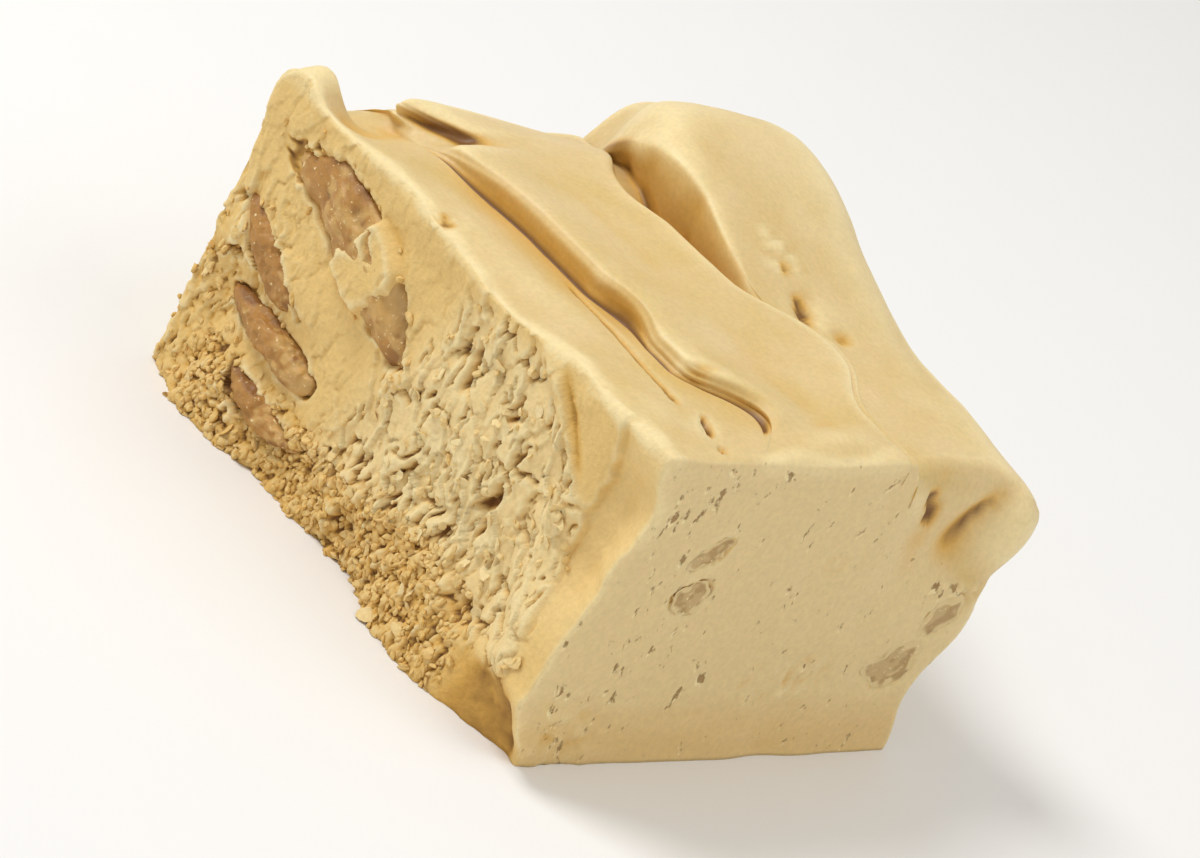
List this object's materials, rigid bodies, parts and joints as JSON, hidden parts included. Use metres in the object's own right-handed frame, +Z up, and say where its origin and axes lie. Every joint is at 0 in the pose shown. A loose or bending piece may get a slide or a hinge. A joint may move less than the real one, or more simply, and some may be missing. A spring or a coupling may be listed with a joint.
{
  "type": "maple fudge",
  "caption": "Hand-cut block of maple walnut fudge with a swirled top, a torn side, a knife-cut front and walnut kernels that show in its sides.",
  "frame": {"origin": "middle of the flat base, under the centre of the bounding box", "axes": "+X along the cut front from the torn side to the right end, +Y from the cut front to the back, +Z up"},
  "size_m": [0.0692, 0.075, 0.0477],
  "materials": {
    "fudge": "soft satin, golden tan, a little translucent",
    "walnut": "matt broken kernel, taupe brown"
  },
  "bodies": {
    "root": {"fudge": "fudge", "walnut_1": "walnut", "walnut_2": "walnut", "walnut_3": "walnut", "walnut_4": "walnut", "walnut_5": "walnut", "walnut_6": "walnut", "walnut_7": "walnut", "walnut_8": "walnut"}
  },
  "joints": []
}
